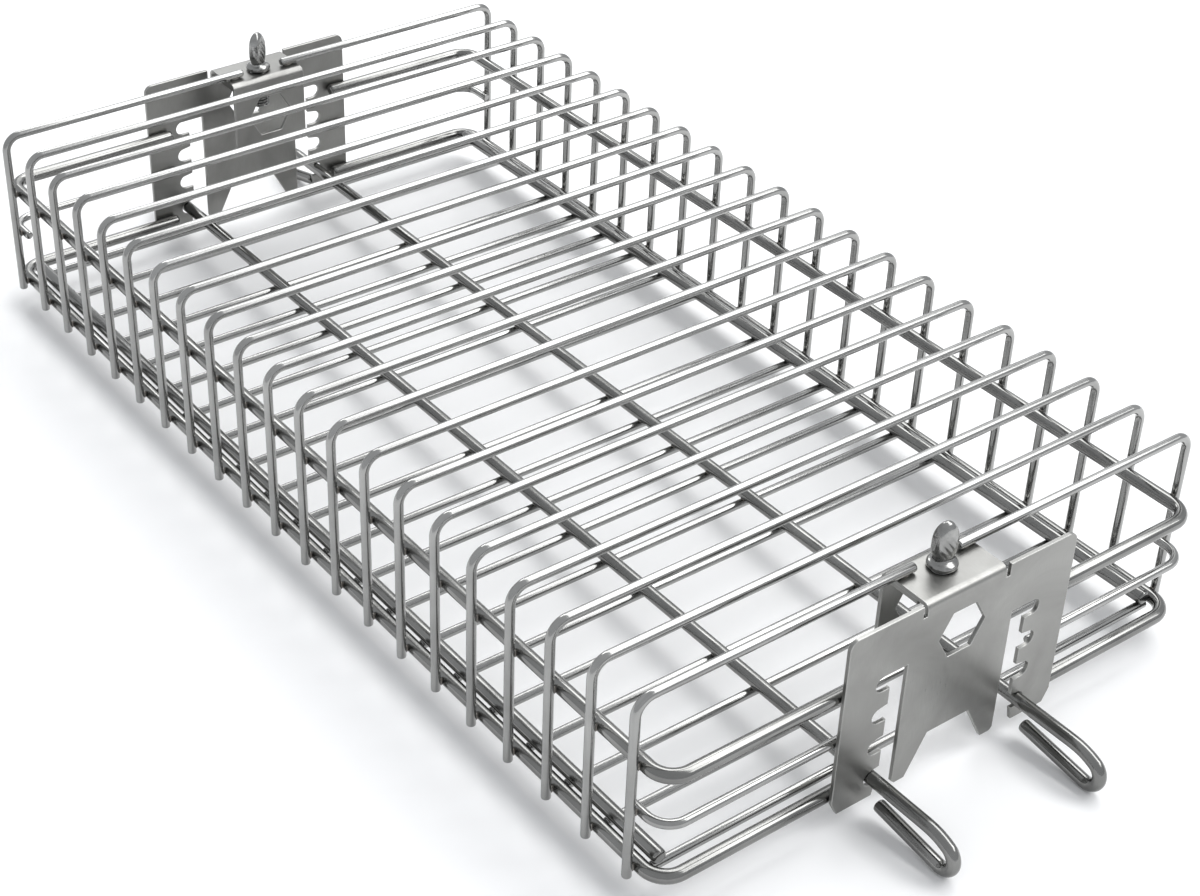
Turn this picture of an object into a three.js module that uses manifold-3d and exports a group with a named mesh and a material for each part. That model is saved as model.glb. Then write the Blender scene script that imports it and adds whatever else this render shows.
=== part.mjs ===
// Flat wire spit basket with a stepped lid: a three.js scene graph in millimetres, +Z up.
// +X points to the end that carries the lid's handles, Y runs across the basket,
// and Z = 0 is the surface that the closed basket stands on.
import * as THREE from 'three';
import { mergeVertices } from 'three/addons/utils/BufferGeometryUtils.js';
import Module from 'manifold-3d';

const wasm = await Module();
wasm.setup();

// ---------- driving dimensions ----------

const weldGap = 0.3; // space left between two pieces that are welded or rest on each other
const arcStep = 22.5; // degrees turned per segment in a wire's bend
const wireSides = 10;

const hoopPitch = 20; // hoop to hoop along X
const hoopCount = 21;
const hoopWire = 1.6; // wire radii
const railWire = 2.4;
const outerRodWire = 2.5;
const innerRodWire = 2.3;

const legHalfWidth = 114.6; // hoop leg centres, from the middle plane
const hoopHeight = 67.9; // leg end to the middle of the top wire
const hoopBend = 6;
const hoopGapHalf = 9; // the end hoops are open this far each side of the screw

const ringLevels = { lower: 2.8, mid: 25, upper: 42.6 }; // above the leg ends
const ringBend = 8;
const ringEndY = 38.3;
const midRailEndY = 35.8;
const midRailOverlap = 4; // a short mid rail starts this far inside the end hoop

const lidPlay = 0.4; // sideways room between the lid's outer rods and the rings
const outerRodPast = 3.6; // lid rods and end cross wires, past the end hoops
const endWirePast = 2;
const crossWirePast = 2.2; // past the middle of the outer rods
const loopDrop = 11.4; // lid rod to the lowest wire of its loop, centre to centre
const rodAboveLegEnd = 5.5;
const weldSink = 0.4; // a welded wire sinks this far into its neighbour

const sheet = 1.5; // end plate thickness
const plateOffset = 13; // end hoop to the end plate's inner face
const plateHalfWidth = 47.3;
const plateCorner = 3.5;
const plateBelowLegEnd = 2.7;
const plateChamfer = 2.5;

const flangeHalfWidth = 16.5;
const flangeDepth = 20.45; // outer face of the end plate to the inner leg's near face
const flangeBend = 2.6; // outside radius of both folds
const innerLegDrop = 29.5; // flange top to the inner leg's lower edge
const reliefWidth = 1.6; // slits beside the fold
const reliefDepth = 4.4;

const hexFlats = 16.8; // spit hole, across flats
const hexAboveLegEnd = 49;

const slotInner = 22; // edge of the centre leg
const toothEdge = 28.5; // inner edge of the teeth
const notchReach = 31.6; // a lid rod's centre when it sits in a notch
const notchHalf = 2.9;
const notchDrop = 0.35; // the rod bears on the upper side of its notch
const notchPitch = 12.6;
const notchCount = 4;
const lipEdge = 29.4; // inner end of the lip under the lowest notch
const footHalfWidth = 16.6; // inner corner of each foot of the centre leg
const crotchHalfWidth = 8.8;
const crotchHeight = 12; // above the leg ends

const screwInset = 10.3; // screw axis to the end plate's inner face
const stemRadius = 4;
const stemBelowFlange = 16.4;
const stemHole = 4.4;
const collarRadius = 5;
const collarHeight = 2.4;
const spadeWidth = 8.6;
const spadeThick = 5.4;
const spadeHeight = 14;
const spadeNeck = 4.5;
const tappedPlate = { depth: 12.6, width: 31, thick: 2.2 };
const screwTurns = [ 33, - 9 ]; // how far each screw happens to be turned, degrees

// ---------- worked-out places ----------

const rodZ = innerRodWire + loopDrop;
const legEnd = rodZ - rodAboveLegEnd;
const hoopTop = legEnd + hoopHeight;
const endHoop = hoopPitch * ( hoopCount - 1 ) / 2;
const plateInner = endHoop + plateOffset;
const plateOuter = plateInner + sheet;
const flangeTop = hoopTop - hoopWire - weldGap;
const plateFoot = legEnd - plateBelowLegEnd;
const innerLegX = plateOuter - flangeDepth;
const hexZ = legEnd + hexAboveLegEnd;
const screwX = plateInner - screwInset;
const stemFoot = flangeTop - stemBelowFlange;

// Heights of the four levels of longitudinal wire.
const lowerRingZ = legEnd + ringLevels.lower;
const midRailZ = legEnd + ringLevels.mid;
const upperRingZ = legEnd + ringLevels.upper;
const crossWireZ = rodZ - innerRodWire - weldGap - hoopWire;
const outerRodZ = crossWireZ + hoopWire + outerRodWire - weldSink;

const ringY = legHalfWidth - hoopWire - weldGap - railWire;
const ringX = plateInner - weldGap - railWire;
const midRailY = legHalfWidth - 2 * hoopWire - weldGap;
const midRailX = plateInner - weldGap - hoopWire;
const midRailStart = endHoop - midRailOverlap;

const outerRodY = ringY - railWire - lidPlay - outerRodWire;
const outerRodX = endHoop + outerRodPast;
const endWireX = endHoop + endWirePast;
const crossWireY = outerRodY + crossWirePast;

// Loops at the ends of the lid's inner rods.
const loopEasing = { angle: 25, radius: 22 };
const nearLoop = { tip: plateOuter + 37, free: plateOuter + 4.4, rise: 7.7 };
const farLoop = { tip: plateOuter + 24.4, free: plateOuter + 1.5, rise: 14 };

// The box of the whole object is centred on X = 0 by this shift.
const shiftX = ( farLoop.tip - nearLoop.tip ) / 2;

// ---------- materials ----------

function steel( color, roughness ) {

	return new THREE.MeshStandardMaterial( { color, roughness, metalness: 1 } );

}

const wireSteel = steel( 0xb9bab8, 0.22 );
const rodSteel = steel( 0xa9aaa8, 0.2 );
const sheetSteel = steel( 0x9d9c97, 0.38 );
const screwSteel = steel( 0x8f8f8d, 0.3 );

// ---------- wires ----------

// A polyline with its tangents, so that an extrusion takes one section at each vertex.
class WirePath extends THREE.Curve {

	constructor( points, tangents ) {

		super();
		this.points = points;
		this.tangents = tangents;

	}

	pick( list, u ) {

		return list[ Math.round( u * ( list.length - 1 ) ) ].clone();

	}

	getPointAt( u ) {

		return this.pick( this.points, u );

	}

	getTangentAt( u ) {

		return this.pick( this.tangents, u );

	}

	getSpacedPoints() {

		return this.points.map( ( point ) => point.clone() );

	}

}

// Follow straight moves { go } and bends { turn, radius }, every bend about the same axis.
function bentPath( start, heading, axis, moves ) {

	const at = start.clone();
	const dir = heading.clone();
	const points = [ at.clone() ];
	const tangents = [ dir.clone() ];

	for ( const move of moves ) {

		if ( move.go ) {

			at.addScaledVector( dir, move.go );
			points.push( at.clone() );
			tangents.push( dir.clone() );
			continue;

		}

		const count = Math.max( 1, Math.ceil( Math.abs( move.turn ) / arcStep ) );
		const whole = THREE.MathUtils.degToRad( move.turn );
		const toCentre = axis.clone().cross( dir ).multiplyScalar( Math.sign( whole ) * move.radius );
		const centre = at.clone().add( toCentre );
		const from = dir.clone();

		for ( let i = 1; i <= count; i ++ ) {

			const angle = whole * i / count;
			at.copy( toCentre ).negate().applyAxisAngle( axis, angle ).add( centre );
			dir.copy( from ).applyAxisAngle( axis, angle );
			points.push( at.clone() );
			tangents.push( dir.clone() );

		}

	}

	return new WirePath( points, tangents );

}

function roundSection( radius, sides = wireSides ) {

	const outline = [];

	for ( let i = 0; i < sides; i ++ ) {

		const angle = 2 * Math.PI * ( i + 0.5 ) / sides;
		outline.push( new THREE.Vector2( radius * Math.cos( angle ), radius * Math.sin( angle ) ) );

	}

	return new THREE.Shape( outline );

}

function wireGeometry( path, radius ) {

	return new THREE.ExtrudeGeometry( roundSection( radius ), {
		steps: path.points.length - 1,
		extrudePath: path,
		bevelEnabled: false
	} );

}

const alongX = new THREE.Vector3( 1, 0, 0 );
const alongY = new THREE.Vector3( 0, 1, 0 );
const alongZ = new THREE.Vector3( 0, 0, 1 );

function straightWire( start, heading, length, radius ) {

	return wireGeometry( bentPath( start, heading, alongZ, [ { go: length } ] ), radius );

}

// ---------- solids ----------

function toSolid( geometry ) {

	const bare = geometry.clone();
	bare.deleteAttribute( 'normal' );
	bare.deleteAttribute( 'uv' );
	const merged = mergeVertices( bare, 1e-4 );
	return new wasm.Manifold( new wasm.Mesh( {
		numProp: 3,
		vertProperties: Float32Array.from( merged.attributes.position.array ),
		triVerts: Uint32Array.from( merged.index.array )
	} ) );

}

function toGeometry( solid ) {

	const mesh = solid.getMesh();
	const geometry = new THREE.BufferGeometry();
	geometry.setAttribute( 'position', new THREE.BufferAttribute( Float32Array.from( mesh.vertProperties ), 3 ) );
	geometry.setIndex( new THREE.BufferAttribute( Uint32Array.from( mesh.triVerts ), 1 ) );
	const loose = geometry.toNonIndexed();
	loose.computeVertexNormals();
	return loose;

}

// Extrude an outline drawn in ( Y, Z ) along X, from x to x + depth.
function extrudeAlongX( shape, x, depth, curveSegments = 6 ) {

	const geometry = new THREE.ExtrudeGeometry( shape, { depth, bevelEnabled: false, curveSegments } );
	geometry.applyMatrix4( new THREE.Matrix4().makeBasis( alongY, alongZ, alongX ) );
	geometry.translate( x, 0, 0 );
	return geometry;

}

// Extrude an outline drawn in ( X, Z ) along Y, centred on the middle plane.
function extrudeAlongY( shape, width, curveSegments = 5 ) {

	const geometry = new THREE.ExtrudeGeometry( shape, { depth: width, bevelEnabled: false, curveSegments } );
	geometry.applyMatrix4( new THREE.Matrix4().makeBasis( alongX, alongZ, alongY.clone().negate() ) );
	geometry.translate( 0, width / 2, 0 );
	return geometry;

}

// ---------- end plate ----------

// Carry the outline on along one side of the plate, 1 or - 1 in Y.
function plateHalf( shape, side, points ) {

	for ( const [ y, z ] of points ) shape.lineTo( side * y, z );

}

function notchPoints( index ) {

	const z = rodZ - notchDrop + notchPitch * index;
	const points = [];
	const last = index === notchCount - 1;
	const mouth = index === 0 ? lipEdge : toothEdge;
	points.push( [ mouth, z - notchHalf + 0.3 ] );
	points.push( [ mouth + 0.6, z - notchHalf ] );

	for ( let i = 0; i <= 8; i ++ ) {

		const angle = Math.PI * ( i / 8 - 0.5 );
		points.push( [ notchReach + notchHalf * Math.cos( angle ), z + notchHalf * Math.sin( angle ) ] );

	}

	points.push( last ? [ slotInner, z + notchHalf ] : [ toothEdge, z + notchHalf + 0.5 ] );
	return points;

}

// Half of the plate's outline, from the top slit round to the crotch.
function halfOutline() {

	const corner = [];

	for ( let i = 0; i <= 6; i ++ ) {

		const angle = Math.PI / 2 * ( 1 - i / 6 );
		corner.push( [
			plateHalfWidth - plateCorner * ( 1 - Math.cos( angle ) ),
			flangeTop - plateCorner * ( 1 - Math.sin( angle ) )
		] );

	}

	const notches = [];

	for ( let i = 0; i < notchCount; i ++ ) notches.push( ...notchPoints( i ) );

	return [
		[ flangeHalfWidth, flangeTop - flangeBend - 1 ],
		[ flangeHalfWidth, flangeTop - reliefDepth ],
		[ flangeHalfWidth + reliefWidth, flangeTop - reliefDepth ],
		[ flangeHalfWidth + reliefWidth, flangeTop ],
		...corner,
		[ plateHalfWidth, plateFoot + 2 * plateChamfer ],
		[ plateHalfWidth - plateChamfer, plateFoot ],
		[ lipEdge + 1, plateFoot ],
		...notches,
		[ slotInner, plateFoot + 1.2 ],
		[ slotInner - 1.2, plateFoot ],
		[ footHalfWidth, plateFoot ],
		[ crotchHalfWidth, legEnd + crotchHeight ]
	];

}

function hexagon( flats, centreZ ) {

	const outline = [];

	for ( let i = 0; i < 6; i ++ ) {

		const angle = Math.PI * i / 3;
		const radius = flats / Math.sqrt( 3 );
		outline.push( new THREE.Vector2( radius * Math.cos( angle ), centreZ + radius * Math.sin( angle ) ) );

	}

	return new THREE.Shape( outline );

}

// The plate's face with its slots, notches and feet; the fold's root is left square at the top.
function plateShape() {

	const half = halfOutline();
	const shape = new THREE.Shape();
	shape.moveTo( half[ 0 ][ 0 ], half[ 0 ][ 1 ] );
	plateHalf( shape, 1, half.slice( 1 ) );
	plateHalf( shape, - 1, [ ...half ].reverse() );
	shape.closePath();
	return shape;

}

// The folded strip seen from the side: plate, fold, flange, fold, inner leg.
function foldShape() {

	const outerX = plateOuter;
	const innerX = innerLegX;
	const bendIn = flangeBend - sheet;
	const root = flangeTop - flangeBend - 1.5;
	const foot = flangeTop - innerLegDrop;
	const shape = new THREE.Shape();
	shape.moveTo( outerX, root );
	shape.lineTo( outerX, flangeTop - flangeBend );
	shape.absarc( outerX - flangeBend, flangeTop - flangeBend, flangeBend, 0, Math.PI / 2, false );
	shape.lineTo( innerX + flangeBend, flangeTop );
	shape.absarc( innerX + flangeBend, flangeTop - flangeBend, flangeBend, Math.PI / 2, Math.PI, false );
	shape.lineTo( innerX, foot );
	shape.lineTo( innerX + sheet, foot );
	shape.lineTo( innerX + sheet, flangeTop - flangeBend );
	shape.absarc( innerX + flangeBend, flangeTop - flangeBend, bendIn, Math.PI, Math.PI / 2, true );
	shape.lineTo( outerX - flangeBend, flangeTop - sheet );
	shape.absarc( outerX - flangeBend, flangeTop - flangeBend, bendIn, Math.PI / 2, 0, true );
	shape.lineTo( outerX - sheet, root );
	shape.closePath();
	return shape;

}

function uprightCylinder( radius, bottom, top, x, sides = 24 ) {

	const geometry = new THREE.CylinderGeometry( radius, radius, top - bottom, sides );
	geometry.rotateX( Math.PI / 2 );
	geometry.translate( x, 0, ( top + bottom ) / 2 );
	return geometry;

}

function endPlateGeometry() {

	const face = toSolid( extrudeAlongX( plateShape(), plateInner, sheet ) );
	const fold = toSolid( extrudeAlongY( foldShape(), 2 * flangeHalfWidth ) );
	const hexCut = toSolid( extrudeAlongX( hexagon( hexFlats, hexZ ), innerLegX - 5, flangeDepth + 10 ) );
	const screwCut = toSolid( uprightCylinder( stemHole, flangeTop - 4, flangeTop + 4, screwX ) );
	return toGeometry( face.add( fold ).subtract( hexCut ).subtract( screwCut ) );

}

function tappedPlateGeometry() {

	const top = flangeTop - sheet - weldGap;
	const block = new THREE.BoxGeometry( tappedPlate.depth, tappedPlate.width, tappedPlate.thick );
	block.translate( screwX, 0, top - tappedPlate.thick / 2 );
	const hole = uprightCylinder( stemHole, top - 6, top + 3, screwX );
	return toGeometry( toSolid( block ).subtract( toSolid( hole ) ) );

}

// ---------- thumb screw ----------

// The stem is turned on a lathe, with a blunt tip.
function stemGeometry() {

	const top = flangeTop + weldGap;
	const profile = [
		[ 0, stemFoot ],
		[ stemRadius - 1, stemFoot ],
		[ stemRadius, stemFoot + 1 ],
		[ stemRadius, top - weldGap ],
		[ 0, top - weldGap ]
	].map( ( [ r, z ] ) => new THREE.Vector2( r, z ) );
	const geometry = new THREE.LatheGeometry( profile, 20 );
	geometry.rotateX( Math.PI / 2 );
	return geometry;

}

// The head: a flat collar, a short neck and a spade with a round top, made as one piece.
function headGeometry() {

	const collarFoot = flangeTop + weldGap;
	const collarTop = collarFoot + collarHeight;
	const half = spadeWidth / 2;
	const foot = collarTop - 0.5;
	const crown = collarTop + spadeHeight - half;
	const spade = new THREE.Shape();
	spade.moveTo( - half + 1.2, foot );
	spade.lineTo( half - 1.2, foot );
	spade.lineTo( half, foot + spadeNeck );
	spade.absarc( 0, crown, half, 0, Math.PI, false );
	spade.lineTo( - half, foot + spadeNeck );
	spade.closePath();
	const blade = extrudeAlongX( spade, - spadeThick / 2, spadeThick, 8 );
	const collar = uprightCylinder( collarRadius, collarFoot, collarTop, 0 );
	return toGeometry( toSolid( collar ).add( toSolid( blade ) ) );

}

// ---------- lid ----------

// The welded grid: two long outer rods on a ladder of cross wires.
function lidGridGeometry() {

	let grid = null;
	const crossings = [ - endWireX ];

	for ( let i = 1; i < hoopCount - 1; i ++ ) crossings.push( i * hoopPitch - endHoop );

	crossings.push( endWireX );

	for ( const side of [ - 1, 1 ] ) {

		const start = new THREE.Vector3( - outerRodX, side * outerRodY, outerRodZ );
		const rod = toSolid( straightWire( start, alongX, 2 * outerRodX, outerRodWire ) );
		grid = grid ? grid.add( rod ) : rod;

	}

	for ( const x of crossings ) {

		const start = new THREE.Vector3( x, - crossWireY, crossWireZ );
		grid = grid.add( toSolid( straightWire( start, alongY, 2 * crossWireY, hoopWire ) ) );

	}

	return toGeometry( grid );

}

// The sizes of a loop that eases down, turns back tightly and returns on a slight rise.
function loopSizes( loop ) {

	const { angle, radius } = loopEasing;
	const tilt = THREE.MathUtils.degToRad( angle );
	const rise = THREE.MathUtils.degToRad( loop.rise );
	const eased = radius * ( 1 - Math.cos( tilt ) );
	const tight = ( loopDrop - eased ) / ( Math.cos( tilt ) + 1 );
	return {
		tight,
		bendStart: loop.tip - radius * Math.sin( tilt ) - tight * ( 1 - Math.sin( tilt ) ),
		back: ( loop.tip - tight - loop.free - tight * Math.sin( rise ) ) / Math.cos( rise ),
		wrap: 180 + loop.rise - angle
	};

}

// One inner rod: the far hook's free end, the long straight, then the near handle's loop.
function innerRodGeometry( side ) {

	const far = loopSizes( farLoop );
	const near = loopSizes( nearLoop );
	const { angle, radius } = loopEasing;
	const rise = THREE.MathUtils.degToRad( farLoop.rise );
	const start = new THREE.Vector3(
		- farLoop.free,
		side * notchReach,
		rodZ - loopDrop + far.tight * ( 1 - Math.cos( rise ) ) + far.back * Math.sin( rise )
	);
	const heading = new THREE.Vector3( - Math.cos( rise ), 0, - Math.sin( rise ) );
	const moves = [
		{ go: far.back },
		{ turn: far.wrap, radius: far.tight },
		{ turn: angle, radius },
		{ go: far.bendStart + near.bendStart },
		{ turn: angle, radius },
		{ turn: near.wrap, radius: near.tight },
		{ go: near.back }
	];
	return wireGeometry( bentPath( start, heading, alongY, moves ), innerRodWire );

}

// ---------- assembly ----------

const basket = new THREE.Group();
basket.position.x = shiftX;

function add( name, geometry, material ) {

	const mesh = new THREE.Mesh( geometry, material );
	mesh.name = name;
	basket.add( mesh );
	return mesh;

}

const sides = { left: - 1, right: 1 };
const ends = { far: - 1, near: 1 };

function hoopX( number ) {

	return ( number - 1 ) * hoopPitch - endHoop;

}

const legLength = hoopHeight - hoopBend;

for ( let number = 2; number < hoopCount; number ++ ) {

	const start = new THREE.Vector3( hoopX( number ), legHalfWidth, legEnd );
	const moves = [
		{ go: legLength },
		{ turn: 90, radius: hoopBend },
		{ go: 2 * ( legHalfWidth - hoopBend ) },
		{ turn: 90, radius: hoopBend },
		{ go: legLength }
	];
	const path = bentPath( start, alongZ, alongX, moves );
	add( `hoop_${ String( number ).padStart( 2, '0' ) }`, wireGeometry( path, hoopWire ), wireSteel );

}

for ( const [ endName, end ] of Object.entries( ends ) ) {

	for ( const [ sideName, side ] of Object.entries( sides ) ) {

		const hoopStart = new THREE.Vector3( end * endHoop, side * legHalfWidth, legEnd );
		const hoopMoves = [
			{ go: legLength },
			{ turn: side * 90, radius: hoopBend },
			{ go: legHalfWidth - hoopBend - hoopGapHalf }
		];
		const hoopPath = bentPath( hoopStart, alongZ, alongX, hoopMoves );
		add( `end_hoop_${ endName }_${ sideName }`, wireGeometry( hoopPath, hoopWire ), wireSteel );

		const railStart = new THREE.Vector3( end * midRailStart, side * midRailY, midRailZ );
		const railMoves = [
			{ go: midRailX - ringBend - midRailStart },
			{ turn: - end * side * 90, radius: ringBend },
			{ go: midRailY - ringBend - midRailEndY }
		];
		const railHeading = alongX.clone().multiplyScalar( end );
		const railPath = bentPath( railStart, railHeading, alongZ, railMoves );
		add( `mid_rail_${ endName }_${ sideName }`, wireGeometry( railPath, hoopWire ), wireSteel );

	}

}

for ( const [ sideName, side ] of Object.entries( sides ) ) {

	for ( const [ level, z ] of [ [ 'upper', upperRingZ ], [ 'lower', lowerRingZ ] ] ) {

		const start = new THREE.Vector3( - ringX, side * ringEndY, z );
		const moves = [
			{ go: ringY - ringBend - ringEndY },
			{ turn: - side * 90, radius: ringBend },
			{ go: 2 * ( ringX - ringBend ) },
			{ turn: - side * 90, radius: ringBend },
			{ go: ringY - ringBend - ringEndY }
		];
		const heading = alongY.clone().multiplyScalar( side );
		const path = bentPath( start, heading, alongZ, moves );
		add( `${ level }_ring_${ sideName }`, wireGeometry( path, railWire ), rodSteel );

	}

	add( `inner_rod_${ sideName }`, innerRodGeometry( side ), rodSteel );

}

add( 'lid_grid', lidGridGeometry(), wireSteel );

Object.entries( ends ).forEach( ( [ endName, end ], index ) => {

	const facing = end > 0 ? 0 : Math.PI;
	add( `end_plate_${ endName }`, endPlateGeometry(), sheetSteel ).rotation.z = facing;
	add( `tapped_plate_${ endName }`, tappedPlateGeometry(), sheetSteel ).rotation.z = facing;
	add( `screw_stem_${ endName }`, stemGeometry(), screwSteel ).position.x = end * screwX;
	const head = add( `screw_head_${ endName }`, headGeometry(), screwSteel );
	head.position.x = end * screwX;
	head.rotation.z = THREE.MathUtils.degToRad( screwTurns[ index ] );

} );

export default basket;
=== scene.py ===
import math
import bmesh
import bpy
import numpy as np
from mathutils import Matrix, Vector


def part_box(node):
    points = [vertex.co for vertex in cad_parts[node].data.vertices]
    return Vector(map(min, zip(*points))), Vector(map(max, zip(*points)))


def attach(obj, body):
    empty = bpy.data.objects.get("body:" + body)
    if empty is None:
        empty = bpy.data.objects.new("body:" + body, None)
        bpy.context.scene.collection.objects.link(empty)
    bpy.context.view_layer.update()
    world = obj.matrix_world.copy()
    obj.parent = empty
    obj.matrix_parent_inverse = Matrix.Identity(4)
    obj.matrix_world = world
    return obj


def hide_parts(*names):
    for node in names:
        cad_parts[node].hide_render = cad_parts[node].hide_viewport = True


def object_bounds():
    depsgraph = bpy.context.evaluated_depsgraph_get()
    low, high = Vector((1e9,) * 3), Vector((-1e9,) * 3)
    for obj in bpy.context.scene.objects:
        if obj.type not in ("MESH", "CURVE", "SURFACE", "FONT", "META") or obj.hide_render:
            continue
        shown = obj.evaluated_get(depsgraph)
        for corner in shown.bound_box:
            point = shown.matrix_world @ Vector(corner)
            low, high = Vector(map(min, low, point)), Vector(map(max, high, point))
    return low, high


# A flat wire spit basket with a stepped lid.
# Shapes are in millimetres and become metres in newPiece.
# The edge and bump sizes of the looks, the floor, the lights and the camera are in metres.

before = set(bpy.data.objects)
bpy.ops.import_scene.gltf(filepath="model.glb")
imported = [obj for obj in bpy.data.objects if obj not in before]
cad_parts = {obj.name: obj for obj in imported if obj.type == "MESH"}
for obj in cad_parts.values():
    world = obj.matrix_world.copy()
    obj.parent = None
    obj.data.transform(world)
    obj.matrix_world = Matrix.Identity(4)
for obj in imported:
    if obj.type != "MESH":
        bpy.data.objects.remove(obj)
cadLow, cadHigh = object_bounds()
mm = 0.001


def midX(node):
    low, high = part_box(node)
    return (low.x + high.x) / 2 / mm


def topOf(node):
    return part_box(node)[1].z / mm


places = {
    "centreX": midX("lid_grid"),  # middle of the basket along its length
    "legEnd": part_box("hoop_11")[0].z / mm,
    "flangeTop": topOf("end_plate_near"),
    "plateOuter": (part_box("end_plate_near")[1].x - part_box("end_plate_far")[0].x) / 2 / mm,
    "endHoop": (midX("end_hoop_near_left") - midX("end_hoop_far_left")) / 2,
    "screwX": (midX("screw_stem_near") - midX("screw_stem_far")) / 2,
    "stemFoot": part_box("screw_stem_near")[0].z / mm,
}


def unit(axis):
    return np.array(axis, float) / np.linalg.norm(axis)


def bentPath(start, heading, axis, moves, degreesPerStep=7.5):
    # Straight lengths and bends in one plane: a bend's points are
    # centre + cos(a) * arm + sin(a) * (axis x arm), the arm being the vector from centre to wire.
    at, direction, axis = np.array(start, float), unit(heading), unit(axis)
    points, tangents = [at[None, :]], [direction[None, :]]
    for kind, amount, *rest in moves:
        if kind == "go":
            at = at + direction * amount
            points.append(at[None, :])
            tangents.append(direction[None, :])
            continue
        turn = math.radians(amount)
        arm = -np.cross(axis, direction) * math.copysign(rest[0], turn)
        centre = at - arm
        steps = max(2, math.ceil(abs(amount) / degreesPerStep))
        angles = np.linspace(0.0, turn, steps + 1)[1:, None]
        points.append(centre + np.cos(angles) * arm + np.sin(angles) * np.cross(axis, arm))
        tangents.append(np.cos(angles) * direction + np.sin(angles) * np.cross(axis, direction))
        at, direction = points[-1][-1], tangents[-1][-1]
    return np.vstack(points), np.vstack(tangents)


# A cut end with a worn edge: how far in each ring lies and how wide it is, in wire radii.
wireEnd = {"depths": (0.0, 0.05, 0.18, 0.42), "widths": (0.55, 0.8, 0.94, 1.0)}


def sweptWire(path, axis, radius, sides=20):
    # A round wire: each ring is centre + r * (cos(t) * axis + sin(t) * (tangent x axis)),
    # and r follows the worn end's profile over the first and last few rings.
    points, tangents = path
    depths = np.array(wireEnd["depths"]) * radius
    widths = np.array(wireEnd["widths"])
    head = points[0] + tangents[0] * depths[:, None]
    tail = points[-1] - tangents[-1] * depths[::-1, None]
    centres = np.vstack([head, points[1:-1], tail])
    heads = np.vstack([
        np.repeat(tangents[:1], len(depths), 0),
        tangents[1:-1],
        np.repeat(tangents[-1:], len(depths), 0),
    ])
    sizes = radius * np.concatenate([widths, np.ones(len(points) - 2), widths[::-1]])
    axis = unit(axis)
    around = np.linspace(0.0, 2 * math.pi, sides, endpoint=False)
    side = np.cross(heads, axis)
    rings = centres[:, None, :] + sizes[:, None, None] * (
        np.cos(around)[None, :, None] * axis + np.sin(around)[None, :, None] * side[:, None, :]
    )
    length = np.concatenate([[0.0], np.cumsum(np.linalg.norm(np.diff(centres, axis=0), axis=1))])
    return closedGrid(rings, points[0], points[-1], length)


def closedGrid(rings, firstPole, lastPole, length):
    # Rings of equal count joined by quads, with a fan of triangles at each pole.
    # The two maps give each face's corners as (length along, turn around).
    count, sides = rings.shape[:2]
    verts = np.vstack([np.array(firstPole)[None], rings.reshape(-1, 3), np.array(lastPole)[None]])
    row = np.arange(count - 1)[:, None] * sides + 1
    col = np.arange(sides)[None, :]
    nextCol = (col + 1) % sides
    quads = np.stack([row + col, row + nextCol, row + sides + nextCol, row + sides + col], -1).reshape(-1, 4)
    lastRow = (count - 1) * sides + 1
    first = np.stack([np.zeros(sides, int), 1 + nextCol[0], 1 + col[0]], -1)
    last = np.stack([np.full(sides, len(verts) - 1), lastRow + col[0], lastRow + nextCol[0]], -1)
    turn = np.arange(sides)
    u0 = np.repeat(length[:-1], sides)
    u1 = np.repeat(length[1:], sides)
    v0 = np.tile(turn, count - 1) / sides
    v1 = v0 + 1 / sides
    corners = ((u0, v0), (u0, v1), (u1, v1), (u1, v0))
    quadMap = np.stack([np.stack(corner, -1) for corner in corners], 1)
    capTurn = np.stack([(turn + 0.5) / sides, turn / sides, (turn + 1) / sides], -1)
    firstMap = np.stack([np.full((sides, 3), length[0]), capTurn[:, [0, 2, 1]]], -1)
    lastMap = np.stack([np.full((sides, 3), length[-1]), capTurn], -1)
    return {"verts": verts, "quads": quads, "tris": np.vstack([first, last]),
            "quadMap": quadMap, "triMap": np.concatenate([firstMap, lastMap])}


def joined(parts):
    # Several closed shapes in one mesh, each shape's indices moved on past the ones before it.
    starts = np.cumsum([0] + [len(p["verts"]) for p in parts[:-1]])
    return {
        "verts": np.vstack([p["verts"] for p in parts]),
        "quads": np.vstack([p["quads"] + s for p, s in zip(parts, starts)]),
        "tris": np.vstack([p["tris"] + s for p, s in zip(parts, starts)]),
        "quadMap": np.concatenate([p["quadMap"] for p in parts]),
        "triMap": np.concatenate([p["triMap"] for p in parts]),
    }


def newPiece(name, shape, body, material, nodes=()):
    mesh = bpy.data.meshes.new(name)
    quads, tris = shape["quads"], shape["tris"]
    mesh.from_pydata((shape["verts"] * mm).tolist(), [], quads.tolist() + tris.tolist())
    uv = mesh.uv_layers.new(name="alongWire")
    flat = np.concatenate([shape["quadMap"].reshape(-1, 2), shape["triMap"].reshape(-1, 2)])
    uv.data.foreach_set("uv", (flat * (mm, 1.0)).ravel())
    mesh.polygons.foreach_set("use_smooth", np.ones(len(mesh.polygons), bool))
    mesh.validate()
    mesh.update()
    piece = bpy.data.objects.new(name, mesh)
    bpy.context.scene.collection.objects.link(piece)
    return dressed(piece, body, material, nodes)


def dressed(piece, body, material, nodes):
    piece.data.materials.clear()
    piece.data.materials.append(material)
    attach(piece, body)
    if nodes:
        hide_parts(*nodes)
    return piece


def nodeGroup(name, inputs, outputs):
    group = bpy.data.node_groups.new(name, "ShaderNodeTree")
    for label, kind, default in inputs:
        socket = group.interface.new_socket(label, in_out="INPUT", socket_type=kind)
        if default is not None:
            socket.default_value = default
    for label, kind in outputs:
        group.interface.new_socket(label, in_out="OUTPUT", socket_type=kind)
    return group, group.nodes.new("NodeGroupInput"), group.nodes.new("NodeGroupOutput")


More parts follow.
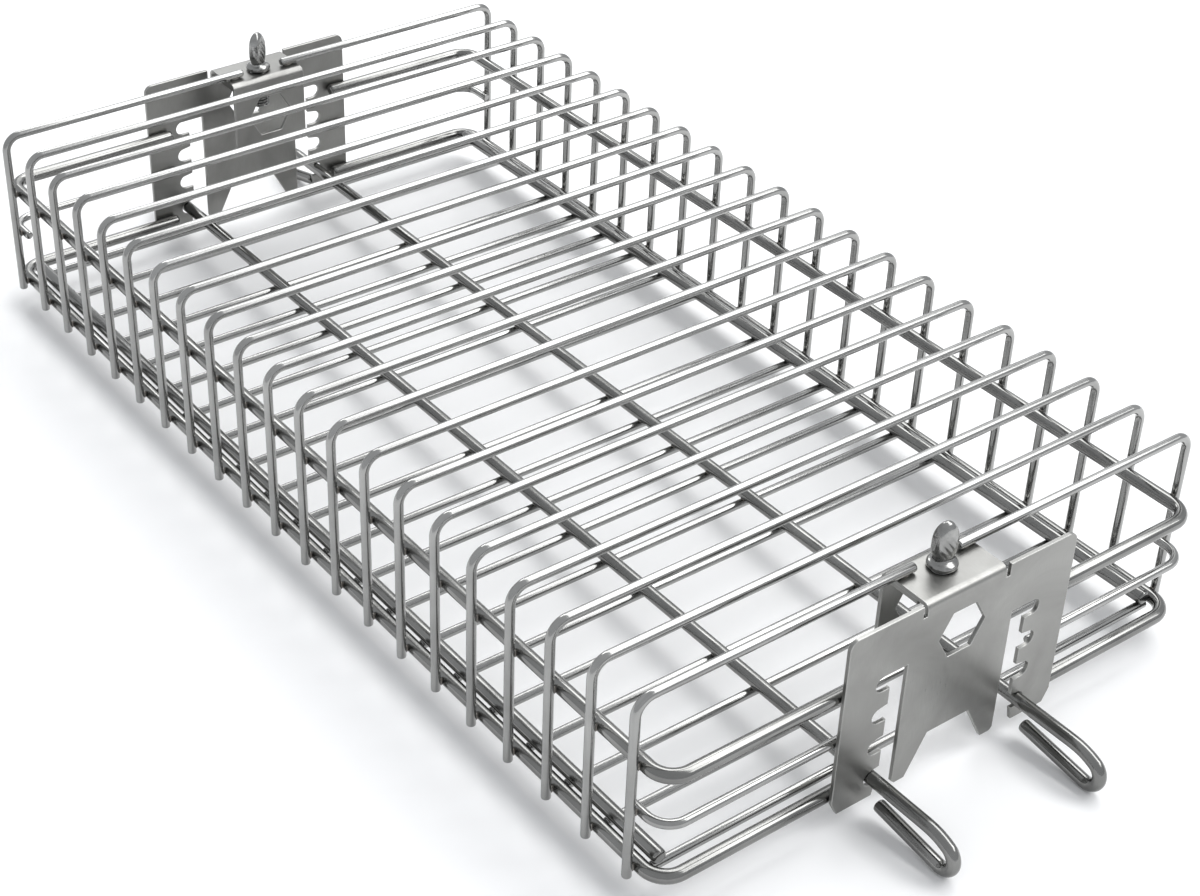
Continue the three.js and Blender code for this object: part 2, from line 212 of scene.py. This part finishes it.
def mathNode(tree, operation, first, second=None, clamp=False):
    node = tree.nodes.new("ShaderNodeMath")
    node.operation = operation
    node.use_clamp = clamp
    for socket, value in zip(node.inputs, (first, second)):
        if value is None:
            continue
        if isinstance(value, (int, float)):
            socket.default_value = value
        else:
            tree.links.new(value, socket)
    return node.outputs[0]


def rangeNode(tree, value, fromLow, fromHigh, toLow, toHigh):
    node = tree.nodes.new("ShaderNodeMapRange")
    tree.links.new(value, node.inputs["Value"])
    limits = {"From Min": fromLow, "From Max": fromHigh, "To Min": toLow, "To Max": toHigh}
    for label, number in limits.items():
        if isinstance(number, (int, float)):
            node.inputs[label].default_value = number
        else:
            tree.links.new(number, node.inputs[label])
    return node.outputs["Result"]


def streakGroup():
    # Fine lines drawn along one direction: noise sampled at the vector times Stretch.
    group, gIn, gOut = nodeGroup(
        "drawnStreaks",
        [("Vector", "NodeSocketVector", None), ("Stretch", "NodeSocketVector", (1.0, 1.0, 1.0)),
         ("Detail", "NodeSocketFloat", 4.0)],
        [("Lines", "NodeSocketFloat"), ("Patches", "NodeSocketFloat")],
    )
    scaled = group.nodes.new("ShaderNodeVectorMath")
    scaled.operation = "MULTIPLY"
    group.links.new(gIn.outputs["Vector"], scaled.inputs[0])
    group.links.new(gIn.outputs["Stretch"], scaled.inputs[1])
    lines = group.nodes.new("ShaderNodeTexNoise")
    lines.inputs["Scale"].default_value = 1.0
    group.links.new(scaled.outputs[0], lines.inputs["Vector"])
    group.links.new(gIn.outputs["Detail"], lines.inputs["Detail"])
    patches = group.nodes.new("ShaderNodeTexNoise")
    patches.inputs["Scale"].default_value = 0.12
    patches.inputs["Detail"].default_value = 2.0
    group.links.new(scaled.outputs[0], patches.inputs["Vector"])
    group.links.new(lines.outputs[0], gOut.inputs["Lines"])
    group.links.new(patches.outputs[0], gOut.inputs["Patches"])
    return group


def edgeGroup():
    # Bright rubbed edges: one minus the dot product of the surface normal and its rounded version.
    group, gIn, gOut = nodeGroup(
        "rubbedEdges",
        [("Radius", "NodeSocketFloat", 0.0004), ("Strength", "NodeSocketFloat", 6.0)],
        [("Mask", "NodeSocketFloat")],
    )
    bevel = group.nodes.new("ShaderNodeBevel")
    bevel.samples = 4
    group.links.new(gIn.outputs["Radius"], bevel.inputs["Radius"])
    geometry = group.nodes.new("ShaderNodeNewGeometry")
    dot = group.nodes.new("ShaderNodeVectorMath")
    dot.operation = "DOT_PRODUCT"
    group.links.new(bevel.outputs[0], dot.inputs[0])
    group.links.new(geometry.outputs["Normal"], dot.inputs[1])
    away = mathNode(group, "SUBTRACT", 1.0, dot.outputs["Value"])
    mask = mathNode(group, "MULTIPLY", away, gIn.outputs["Strength"], clamp=True)
    group.links.new(mask, gOut.inputs["Mask"])
    return group


def smudgeGroup():
    # Handling marks: soft cloudy patches, sharpened by Contrast about their middle value.
    group, gIn, gOut = nodeGroup(
        "handlingMarks",
        [("Vector", "NodeSocketVector", None), ("Scale", "NodeSocketFloat", 30.0),
         ("Contrast", "NodeSocketFloat", 2.0)],
        [("Marks", "NodeSocketFloat")],
    )
    noise = group.nodes.new("ShaderNodeTexNoise")
    noise.inputs["Detail"].default_value = 5.0
    noise.inputs["Roughness"].default_value = 0.55
    noise.inputs["Distortion"].default_value = 0.6
    group.links.new(gIn.outputs["Vector"], noise.inputs["Vector"])
    group.links.new(gIn.outputs["Scale"], noise.inputs["Scale"])
    centred = mathNode(group, "SUBTRACT", noise.outputs[0], 0.5)
    steep = mathNode(group, "MULTIPLY", centred, gIn.outputs["Contrast"])
    marks = mathNode(group, "ADD", steep, 0.5, clamp=True)
    group.links.new(marks, gOut.inputs["Marks"])
    return group


streaks = streakGroup()
edges = edgeGroup()
smudges = smudgeGroup()


def grouped(tree, group, **values):
    node = tree.nodes.new("ShaderNodeGroup")
    node.node_tree = group
    for label, value in values.items():
        if isinstance(value, bpy.types.NodeSocket):
            tree.links.new(value, node.inputs[label])
        else:
            node.inputs[label].default_value = value
    return node


def mixColour(tree, factor, dark, light):
    node = tree.nodes.new("ShaderNodeMix")
    node.data_type = "RGBA"
    tree.links.new(factor, node.inputs[0])
    for socket, value in ((node.inputs[6], dark), (node.inputs[7], light)):
        if isinstance(value, bpy.types.NodeSocket):
            tree.links.new(value, socket)
        else:
            socket.default_value = (*value, 1.0)
    return node.outputs[2]


noiseSpan = (0.3, 0.7)  # where most of a noise texture's values lie
markContrast = 2.2


def steelFinish(name, looks):
    # Bare steel: streaks along the grain change colour, roughness and bump,
    # handling marks dull it and edges are rubbed bright.
    material = bpy.data.materials.new(name)
    material.use_nodes = True
    tree = material.node_tree
    shader = tree.nodes["Principled BSDF"]
    shader.inputs["Metallic"].default_value = 1.0
    coords = tree.nodes.new("ShaderNodeTexCoord")
    if looks["pattern"] == "alongWire":
        uv = tree.nodes.new("ShaderNodeUVMap")
        uv.uv_map = "alongWire"
        vector = uv.outputs[0]
    else:
        vector = coords.outputs["Object"]
    grain = grouped(tree, streaks, Vector=vector, Stretch=looks["stretch"], Detail=looks["detail"])
    marks = grouped(tree, smudges, Vector=coords.outputs["Object"], Scale=looks["markScale"],
                    Contrast=markContrast)
    rubbed = grouped(tree, edges, Radius=looks["edgeRadius"], Strength=looks["edgeStrength"])
    base = mixColour(tree, grain.outputs["Lines"], looks["dark"], looks["light"])
    dulled = mixColour(tree, marks.outputs["Marks"], base, looks["marked"])
    bright = mixColour(tree, rubbed.outputs["Mask"], dulled, looks["edgeColour"])
    tree.links.new(bright, shader.inputs["Base Color"])
    low, high = looks["roughness"]
    rough = rangeNode(tree, grain.outputs["Lines"], *noiseSpan, low, high)
    markRough = mathNode(tree, "MULTIPLY", marks.outputs["Marks"], looks["markRough"])
    rough = mathNode(tree, "ADD", rough, markRough)
    tree.links.new(rough, shader.inputs["Roughness"])
    bump = tree.nodes.new("ShaderNodeBump")
    bump.inputs["Strength"].default_value = looks["bump"]
    bump.inputs["Distance"].default_value = looks["bumpDepth"]
    tree.links.new(grain.outputs["Lines"], bump.inputs["Height"])
    tree.links.new(bump.outputs[0], shader.inputs["Normal"])
    return material


thinWireLooks = {
    "pattern": "alongWire", "stretch": (60.0, 14.0, 1.0), "detail": 4.0,
    "dark": (0.31, 0.31, 0.305), "light": (0.44, 0.44, 0.43), "marked": (0.27, 0.27, 0.264),
    "edgeColour": (0.8, 0.8, 0.79), "edgeRadius": 0.0003, "edgeStrength": 3.0,
    "roughness": (0.11, 0.2), "markScale": 40.0, "markRough": 0.05, "bump": 0.12, "bumpDepth": 0.00005,
}
# Rod colours: partly a darker steel than the thin wires and partly painted shade, since the shade that the
# hoops cast on the rods is painted into this darker base colour.
rodLooksWithPaintedShade = dict(
    thinWireLooks, dark=(0.20, 0.20, 0.194), light=(0.32, 0.32, 0.311), marked=(0.17, 0.17, 0.165),
    roughness=(0.1, 0.19), stretch=(45.0, 18.0, 1.0),
)
sheetLooks = {
    "pattern": "object", "stretch": (260.0, 3200.0, 190.0), "detail": 6.0,
    "dark": (0.27, 0.27, 0.26), "light": (0.38, 0.38, 0.365), "marked": (0.22, 0.218, 0.21),
    "edgeColour": (0.72, 0.72, 0.7), "edgeRadius": 0.0005, "edgeStrength": 4.0,
    "roughness": (0.26, 0.38), "markScale": 28.0, "markRough": 0.08, "bump": 0.15, "bumpDepth": 0.00004,
}
screwLooks = {
    "pattern": "object", "stretch": (500.0, 500.0, 900.0), "detail": 3.0,
    "dark": (0.26, 0.26, 0.255), "light": (0.46, 0.46, 0.45), "marked": (0.18, 0.18, 0.175),
    "edgeColour": (0.75, 0.75, 0.73), "edgeRadius": 0.0004, "edgeStrength": 3.0,
    "roughness": (0.1, 0.2), "markScale": 120.0, "markRough": 0.06, "bump": 0.2, "bumpDepth": 0.00006,
}
weldLooks = {
    "pattern": "object", "stretch": (1500.0, 1500.0, 1500.0), "detail": 3.0,
    "dark": (0.20, 0.19, 0.18), "light": (0.42, 0.41, 0.39), "marked": (0.22, 0.2, 0.18),
    "edgeColour": (0.4, 0.4, 0.39), "edgeRadius": 0.0002, "edgeStrength": 1.0,
    "roughness": (0.35, 0.55), "markScale": 200.0, "markRough": 0.1, "bump": 0.4, "bumpDepth": 0.0001,
}

thinWireSteel = steelFinish("thinWireSteel", thinWireLooks)
# The rods' material carries painted shade in its darker base colour.
rodSteelWithPaintedShade = steelFinish("rodSteelWithPaintedShade", rodLooksWithPaintedShade)
sheetSteel = steelFinish("sheetSteel", sheetLooks)
screwSteel = steelFinish("screwSteel", screwLooks)
weldSteel = steelFinish("weldSteel", weldLooks)
print("materials made")

hoopSizes = {"wire": 1.6, "legY": 114.6, "height": 67.9, "bend": 6.0, "gapHalf": 9.0, "eachSide": 10}

legRun = hoopSizes["height"] - hoopSizes["bend"]
for number in range(2, 21):  # numbers 1 and 21 are the split hoops below
    node = f"hoop_{number:02d}"
    path = bentPath(
        (midX(node), hoopSizes["legY"], places["legEnd"]), (0, 0, 1), (1, 0, 0),
        [("go", legRun), ("bend", 90, hoopSizes["bend"]),
         ("go", 2 * (hoopSizes["legY"] - hoopSizes["bend"])),
         ("bend", 90, hoopSizes["bend"]), ("go", legRun)],
    )
    newPiece(f"hoop{number:02d}", sweptWire(path, (1, 0, 0), hoopSizes["wire"]),
             "basket", thinWireSteel, [node])

for endName in ("far", "near"):
    for sideName, side in (("left", -1), ("right", 1)):
        node = f"end_hoop_{endName}_{sideName}"
        path = bentPath(
            (midX(node), side * hoopSizes["legY"], places["legEnd"]), (0, 0, 1), (1, 0, 0),
            [("go", legRun), ("bend", side * 90, hoopSizes["bend"]),
             ("go", hoopSizes["legY"] - hoopSizes["bend"] - hoopSizes["gapHalf"])],
        )
        newPiece(f"endHoop{endName.title()}{sideName.title()}",
                 sweptWire(path, (1, 0, 0), hoopSizes["wire"]),
                 "basket", thinWireSteel, [node])

ringSizes = {
    "rod": 2.4, "sides": 24, "y": 110.3, "insetX": 4.2, "bend": 8.0, "endY": 38.3,
    "upper": 42.6, "lower": 2.8,
}

ringX = places["plateOuter"] - ringSizes["insetX"]
ringShort = ringSizes["y"] - ringSizes["bend"] - ringSizes["endY"]
for level in ("upper", "lower"):
    for sideName, side in (("left", -1), ("right", 1)):
        path = bentPath(
            (places["centreX"] - ringX, side * ringSizes["endY"], places["legEnd"] + ringSizes[level]),
            (0, side, 0), (0, 0, 1),
            [("go", ringShort), ("bend", -side * 90, ringSizes["bend"]),
             ("go", 2 * (ringX - ringSizes["bend"])),
             ("bend", -side * 90, ringSizes["bend"]), ("go", ringShort)],
        )
        newPiece(f"{level}Ring{sideName.title()}",
                 sweptWire(path, (0, 0, 1), ringSizes["rod"], ringSizes["sides"]),
                 "basket", rodSteelWithPaintedShade, [f"{level}_ring_{sideName}"])

railSizes = {"wire": 1.6, "y": 111.1, "insetX": 3.4, "bend": 8.0, "endY": 35.8, "z": 25.0, "startInset": 4.0}

railX = places["plateOuter"] - railSizes["insetX"]
railStart = places["endHoop"] - railSizes["startInset"]
for endName, end in (("far", -1), ("near", 1)):
    for sideName, side in (("left", -1), ("right", 1)):
        path = bentPath(
            (places["centreX"] + end * railStart, side * railSizes["y"], places["legEnd"] + railSizes["z"]),
            (end, 0, 0), (0, 0, 1),
            [("go", railX - railSizes["bend"] - railStart), ("bend", -end * side * 90, railSizes["bend"]),
             ("go", railSizes["y"] - railSizes["bend"] - railSizes["endY"])],
        )
        newPiece(f"midRail{endName.title()}{sideName.title()}",
                 sweptWire(path, (0, 0, 1), railSizes["wire"]),
                 "basket", thinWireSteel, [f"mid_rail_{endName}_{sideName}"])
print("basket wires made")

lidSizes = {
    "innerRod": 2.3, "rodAboveLegEnd": 5.5, "notchReach": 31.6, "drop": 11.4,
    "easeTurn": 25.0, "easeRadius": 22.0,
    "outerRod": 2.5, "outerY": 105.0, "wire": 1.6, "wireY": 107.2, "pitch": 20.0, "endWire": 202.0,
    "restGap": 0.3, "weldSink": 0.4, "innerEachSide": 9, "rodSides": 24, "handleSides": 28, "wireSides": 18,
}
handles = {
    "near": {"tip": 37.0, "free": 4.4, "rise": 7.7},
    "far": {"tip": 24.4, "free": 1.5, "rise": 14.0},
}

rodZ = places["legEnd"] + lidSizes["rodAboveLegEnd"]
wireZ = rodZ - lidSizes["innerRod"] - lidSizes["restGap"] - lidSizes["wire"]
outerZ = wireZ + lidSizes["wire"] + lidSizes["outerRod"] - lidSizes["weldSink"]


def loopSizes(loop):
    # A loop eases down, turns tightly back and returns on a slight rise.
    # Its tight radius follows from the drop: drop = easeRadius (1 - cos tilt) + tight (1 + cos tilt).
    tilt, rise = math.radians(lidSizes["easeTurn"]), math.radians(loop["rise"])
    tip, free = places["plateOuter"] + loop["tip"], places["plateOuter"] + loop["free"]
    tight = (lidSizes["drop"] - lidSizes["easeRadius"] * (1 - math.cos(tilt))) / (math.cos(tilt) + 1)
    return {
        "tight": tight,
        "free": free,
        "bendStart": tip - lidSizes["easeRadius"] * math.sin(tilt) - tight * (1 - math.sin(tilt)),
        "back": (tip - tight - free - tight * math.sin(rise)) / math.cos(rise),
        "wrap": 180 + loop["rise"] - lidSizes["easeTurn"],
    }


farLoop, nearLoop = loopSizes(handles["far"]), loopSizes(handles["near"])
farRise = math.radians(handles["far"]["rise"])
freeZ = (rodZ - lidSizes["drop"] + farLoop["tight"] * (1 - math.cos(farRise))
         + farLoop["back"] * math.sin(farRise))
for sideName, side in (("left", -1), ("right", 1)):
    path = bentPath(
        (places["centreX"] - farLoop["free"], side * lidSizes["notchReach"], freeZ),
        (-math.cos(farRise), 0, -math.sin(farRise)), (0, 1, 0),
        [("go", farLoop["back"]), ("bend", farLoop["wrap"], farLoop["tight"]),
         ("bend", lidSizes["easeTurn"], lidSizes["easeRadius"]),
         ("go", farLoop["bendStart"] + nearLoop["bendStart"]),
         ("bend", lidSizes["easeTurn"], lidSizes["easeRadius"]),
         ("bend", nearLoop["wrap"], nearLoop["tight"]), ("go", nearLoop["back"])],
    )
    newPiece(f"innerRod{sideName.title()}",
             sweptWire(path, (0, 1, 0), lidSizes["innerRod"], lidSizes["handleSides"]),
             "lid", rodSteelWithPaintedShade, [f"inner_rod_{sideName}"])

lidLow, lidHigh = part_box("lid_grid")
rodEnds = (lidLow.x / mm, lidHigh.x / mm)
outerRods = []
for side in (-1, 1):
    path = bentPath((rodEnds[0], side * lidSizes["outerY"], outerZ), (1, 0, 0), (0, 0, 1),
                    [("go", rodEnds[1] - rodEnds[0])])
    outerRods.append(sweptWire(path, (0, 0, 1), lidSizes["outerRod"], lidSizes["rodSides"]))
newPiece("lidOuterRods", joined(outerRods), "lid", rodSteelWithPaintedShade, ["lid_grid"])

innerCrossings = np.arange(-lidSizes["innerEachSide"], lidSizes["innerEachSide"] + 1) * lidSizes["pitch"]
crossings = np.concatenate([[-lidSizes["endWire"]], innerCrossings, [lidSizes["endWire"]]])
crossWires = []
for x in crossings + places["centreX"]:
    path = bentPath((x, -lidSizes["wireY"], wireZ), (0, 1, 0), (0, 0, 1), [("go", 2 * lidSizes["wireY"])])
    crossWires.append(sweptWire(path, (0, 0, 1), lidSizes["wire"], lidSizes["wireSides"]))
newPiece("lidCrossWires", joined(crossWires), "lid", thinWireSteel, ["lid_grid"])
print("lid made")


def nuggets(centres, radii, rings=4, sides=8):
    # Small ellipsoids, all with one grid: centre + radii * (sin(p) cos(t), sin(p) sin(t), cos(p)).
    polar = np.linspace(0, math.pi, rings + 2)[1:-1]
    around = np.linspace(0, 2 * math.pi, sides, endpoint=False)
    grid = np.stack([
        np.sin(polar)[:, None] * np.cos(around),
        np.sin(polar)[:, None] * np.sin(around),
        np.cos(polar)[:, None] * np.ones(sides),
    ], -1)
    parts = []
    for centre, radius in zip(np.atleast_2d(centres), np.broadcast_to(radii, (len(centres), 3))):
        ball = centre + grid[::-1] * radius
        pole = np.array([0.0, 0.0, radius[2]])
        parts.append(closedGrid(ball, centre - pole, centre + pole, np.linspace(0, 1, rings)))
    return joined(parts)


weldSizes = {  # half sizes along X, Y and Z, then where each kind of weld sits
    "leg": (1.1, 0.5, 1.5), "flat": (0.9, 2.4, 0.5), "plate": (0.45, 2.8, 0.8), "cross": (1.3, 1.3, 0.5),
    "halfGap": 0.15, "flatY": 12.6, "plateY": 42.8, "plateInset": 1.65, "crossLift": 0.1,
}

hoopXs = np.arange(-hoopSizes["eachSide"], hoopSizes["eachSide"] + 1) * lidSizes["pitch"] + places["centreX"]
legGap = hoopSizes["legY"] - hoopSizes["wire"] - weldSizes["halfGap"]
legSpots = np.array([
    (x, side * legGap, places["legEnd"] + ringSizes[level])
    for x in hoopXs for side in (-1, 1) for level in ("upper", "lower")
])
railSpots = np.array([
    (places["centreX"] + end * places["endHoop"], side * legGap, places["legEnd"] + railSizes["z"])
    for end in (-1, 1) for side in (-1, 1)
])
flangeSpots = np.array([
    (places["centreX"] + end * places["endHoop"], side * weldSizes["flatY"],
     places["flangeTop"] + weldSizes["halfGap"])
    for end in (-1, 1) for side in (-1, 1)
])
plateX = places["plateOuter"] - weldSizes["plateInset"]
plateSpots = np.array([
    (places["centreX"] + end * plateX, side * weldSizes["plateY"], places["legEnd"] + z)
    for end in (-1, 1) for side in (-1, 1) for z in (ringSizes["upper"], ringSizes["lower"], railSizes["z"])
])
basketWelds = joined([
    nuggets(legSpots, weldSizes["leg"]), nuggets(railSpots, weldSizes["leg"]),
    nuggets(flangeSpots, weldSizes["flat"]), nuggets(plateSpots, weldSizes["plate"]),
])
newPiece("basketWelds", basketWelds, "basket", weldSteel)

crossSpots = np.array([
    (x, y, wireZ + lidSizes["wire"] + weldSizes["crossLift"])
    for x in crossings + places["centreX"]
    for y in (-lidSizes["outerY"], -lidSizes["notchReach"], lidSizes["notchReach"], lidSizes["outerY"])
])
newPiece("lidWelds", nuggets(crossSpots, weldSizes["cross"]), "lid", weldSteel)
print("welds made")

edgeWidths = {"end": 0.3, "tapped": 0.35}  # how much of each cut edge is rounded away


def softEdged(node, name, width, body, material):
    # The CAD solid's faces merged back into flat panels, with the cut edges rounded by a bevel.
    mesh = bpy.data.meshes.new(name)
    shell = bmesh.new()
    shell.from_mesh(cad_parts[node].data)
    bmesh.ops.remove_doubles(shell, verts=shell.verts, dist=2e-6)
    bmesh.ops.dissolve_limit(shell, angle_limit=math.radians(1.0), verts=shell.verts, edges=shell.edges)
    shell.to_mesh(mesh)
    shell.free()
    mesh.polygons.foreach_set("use_smooth", np.ones(len(mesh.polygons), bool))
    piece = bpy.data.objects.new(name, mesh)
    bpy.context.scene.collection.objects.link(piece)
    bevel = piece.modifiers.new("roundedEdge", "BEVEL")
    bevel.width = width * mm
    bevel.segments = 3
    bevel.limit_method = "ANGLE"
    bevel.angle_limit = math.radians(35)
    bevel.harden_normals = True
    bevel.use_clamp_overlap = True
    flatten = piece.modifiers.new("flatPanels", "WEIGHTED_NORMAL")  # the broad panels decide the normals
    flatten.mode = "FACE_AREA"
    flatten.weight = 100
    flatten.keep_sharp = False
    return dressed(piece, body, material, [node])


for endName in ("near", "far"):
    softEdged(f"end_plate_{endName}", f"endPlate{endName.title()}", edgeWidths["end"],
              "basket", sheetSteel)
    softEdged(f"tapped_plate_{endName}", f"tappedPlate{endName.title()}", edgeWidths["tapped"],
              "basket", sheetSteel)
print("end plates made")

threadSizes = {
    "radius": 3.95, "depth": 0.62, "pitch": 1.25, "lead": 1.0, "tip": 0.72, "rows": 140, "sides": 40,
}


def threadedStem(x, foot, top):
    # A lathe surface whose radius falls by a triangle wave of (height / pitch - angle / turn),
    # so the groove winds round it, and which narrows over the lead at its foot.
    t = threadSizes
    heights = np.linspace(foot, top, t["rows"])
    around = np.linspace(0, 2 * math.pi, t["sides"], endpoint=False)
    phase = heights[:, None] / t["pitch"] - around[None, :] / (2 * math.pi)
    groove = 1 - np.abs(2 * (phase - np.floor(phase)) - 1)
    lead = np.clip((heights - foot) / t["lead"], 0.0, 1.0)[:, None]
    radius = (t["radius"] - t["depth"] * groove) * (t["tip"] + (1 - t["tip"]) * lead)
    rings = np.stack([
        x + radius * np.cos(around), radius * np.sin(around), heights[:, None] * np.ones_like(radius)
    ], -1)
    return closedGrid(rings, (x, 0, foot), (x, 0, top), heights - foot)


headSizes = {
    "collar": 4.95, "collarHeight": 2.5, "width": 4.25, "thick": 2.65,
    "neckWidth": 3.3, "neckThick": 2.5, "height": 16.3, "crownRun": 7.6,
    "ridgeDepth": 0.22, "ridgePitch": 1.7, "ridgeSlant": (0.8, 0.6), "ridgeLow": 3.6, "ridgeHigh": 3.4,
    "fadeLow": 1.2, "fadeHigh": 1.5,  # heights over which the ridges fade in and out
    "collarLevels": (0.0, 0.08, 0.35, 0.9, 1.45, 1.85, 2.1, 2.3),
    "collarWidths": (0.86, 0.93, 0.985, 1.0, 0.985, 0.93, 0.85, 0.72),  # shares of the collar's radius
    "swellShare": 0.34, "widthDome": 2.1, "thickDome": 2.6, "squarer": 1.2, "squareShare": 0.2,
    "faceShare": 0.8, "rows": 44, "sides": 64,
}


def spadeHead(x, bottom, turn):
    # Rings from the collar to the crown, each a superellipse |a/w|^n + |b/t|^n = 1:
    # round at the collar (n 2), squarer on the spade (n 3.2).
    # A cosine of slanting distance presses ridges into the broad faces.
    h = headSizes
    top = bottom + h["height"]
    collarZ = bottom + np.array(h["collarLevels"])
    collarR = h["collar"] * np.array(h["collarWidths"])
    rise = np.linspace(0.0, 1.0, h["rows"])[1:]
    bodyZ = bottom + h["collarHeight"] + rise * (h["height"] - h["collarHeight"])
    swell = np.clip(rise / h["swellShare"], 0, 1)
    swell = swell * swell * (3 - 2 * swell)
    crown = np.clip((bodyZ - (top - h["crownRun"])) / h["crownRun"], 0, 1)
    dome = np.sqrt(np.clip(1 - crown ** h["widthDome"], 0, 1))
    width = (h["neckWidth"] + (h["width"] - h["neckWidth"]) * swell) * dome
    thickDome = np.sqrt(np.clip(1 - crown ** h["thickDome"], 0, 1))
    thick = (h["neckThick"] + (h["thick"] - h["neckThick"]) * swell) * thickDome
    heights = np.concatenate([collarZ, bodyZ])
    widths = np.concatenate([collarR, width])
    thicks = np.concatenate([collarR, thick])
    squarer = h["squarer"] * np.clip(rise / h["squareShare"], 0, 1) * (1 - crown ** 4)
    power = np.concatenate([np.full(len(collarZ), 2.0), 2.0 + squarer])
    around = np.linspace(0, 2 * math.pi, h["sides"], endpoint=False)
    reach = (np.abs(np.sin(around))[None, :] / widths[:, None].clip(1e-3)) ** power[:, None]
    reach = reach + (np.abs(np.cos(around))[None, :] / thicks[:, None].clip(1e-3)) ** power[:, None]
    reach = reach ** (-1 / power[:, None])
    across, along = reach * np.cos(around), reach * np.sin(around)
    level = (heights - bottom)[:, None]
    slantAlong, slantUp = h["ridgeSlant"]
    ridge = 0.5 + 0.5 * np.cos(2 * math.pi * (along * slantAlong + level * slantUp) / h["ridgePitch"])
    face = np.clip(1 - (np.abs(along) / (h["faceShare"] * widths[:, None].clip(1e-3))) ** 4, 0, 1)
    below = np.clip((level - h["ridgeLow"]) / h["fadeLow"], 0, 1)
    above = np.clip((h["height"] - h["ridgeHigh"] - level) / h["fadeHigh"], 0, 1)
    field = below * above
    across = across - np.sign(across) * h["ridgeDepth"] * ridge * face * field
    c, s = math.cos(turn), math.sin(turn)
    rings = np.stack([
        x + across * c - along * s, across * s + along * c, heights[:, None] * np.ones_like(across)
    ], -1)
    return closedGrid(rings, (x, 0, bottom), (x, 0, heights[-1]), heights - bottom)


screwTurns = {"near": -9.0, "far": 33.0}  # degrees about +Z, from a spade that lies across the basket
for endName, end in (("near", 1), ("far", -1)):
    x = places["centreX"] + end * places["screwX"]
    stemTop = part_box(f"screw_stem_{endName}")[1].z / mm
    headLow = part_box(f"screw_head_{endName}")[0].z / mm
    newPiece(f"screwStem{endName.title()}", threadedStem(x, places["stemFoot"], stemTop),
             f"{endName}_stem", screwSteel, [f"screw_stem_{endName}"])
    newPiece(f"screwHead{endName.title()}", spadeHead(x, headLow, math.radians(screwTurns[endName])),
             f"{endName}_head", screwSteel, [f"screw_head_{endName}"])
print("thumb screws made")

floorSizes = {"half": 4.0, "gap": 0.0002, "shade": 0.93, "rough": 0.8, "specular": 0.2}


def floorPiece():
    mesh = bpy.data.meshes.new("floor")
    half, level = floorSizes["half"], cadLow.z - floorSizes["gap"]
    corners = [(x * half, y * half, level) for x, y in ((-1, -1), (1, -1), (1, 1), (-1, 1))]
    mesh.from_pydata(corners, [], [(0, 1, 2, 3)])
    plane = bpy.data.objects.new("floor", mesh)
    bpy.context.scene.collection.objects.link(plane)
    material = bpy.data.materials.new("paleFloor")
    material.use_nodes = True
    shader = material.node_tree.nodes["Principled BSDF"]
    shader.inputs["Base Color"].default_value = (*[floorSizes["shade"]] * 3, 1.0)
    shader.inputs["Roughness"].default_value = floorSizes["rough"]
    shader.inputs["Specular IOR Level"].default_value = floorSizes["specular"]
    mesh.materials.append(material)


def areaLight(name, place, aim, size, power):
    light = bpy.data.lights.new(name, "AREA")
    light.shape = "RECTANGLE"
    light.size, light.size_y = size
    light.energy = power
    lamp = bpy.data.objects.new(name, light)
    direction = np.array(aim, float) - np.array(place, float)
    turn = Vector(direction).to_track_quat("-Z", "Y").to_matrix().to_4x4()
    lamp.matrix_world = Matrix.Translation(place) @ turn
    bpy.context.scene.collection.objects.link(lamp)


studio = {
    "softTop": {"place": (-0.1, 0.8, 1.45), "size": (2.2, 0.7), "power": 20.0},
    "softLeft": {"place": (-1.5, 0.3, 1.25), "size": (0.5, 0.6), "power": 4.5},
    "softBack": {"place": (-1.6, 1.3, 1.35), "size": (1.7, 1.0), "power": 5.5},
    "softFront": {"place": (1.15, 1.05, 1.3), "size": (1.0, 0.5), "power": 7.0},
}

floorPiece()
for lightName, light in studio.items():
    areaLight(lightName, light["place"], (0, 0, 0), light["size"], light["power"])

world = bpy.data.worlds.new("studio")
world.use_nodes = True
world.node_tree.nodes["Background"].inputs["Color"].default_value = (0.95, 0.97, 1.0, 1.0)
world.node_tree.nodes["Background"].inputs["Strength"].default_value = 0.78
bpy.context.scene.world = world
bpy.context.scene.view_settings.view_transform = "Standard"

cameraSizes = {
    "place": (0.5544, -0.4189, 0.4937), "azimuth": 51.89, "elevation": 34.78, "roll": 2.11,
    "lens": 68.11, "shift": (0.0123, -0.0141),
}
cameraData = bpy.data.cameras.new("camera")
cameraData.lens = cameraSizes["lens"]
cameraData.sensor_width = 36.0
cameraData.shift_x, cameraData.shift_y = cameraSizes["shift"]
cameraData.clip_start = 0.01
camera = bpy.data.objects.new("camera", cameraData)
bpy.context.scene.collection.objects.link(camera)
camera.matrix_world = (
    Matrix.Translation(cameraSizes["place"])
    @ Matrix.Rotation(math.radians(cameraSizes["azimuth"]), 4, "Z")
    @ Matrix.Rotation(math.radians(90 - cameraSizes["elevation"]), 4, "X")
    @ Matrix.Rotation(math.radians(cameraSizes["roll"]), 4, "Z")
)
bpy.context.scene.camera = camera
print("stage made")
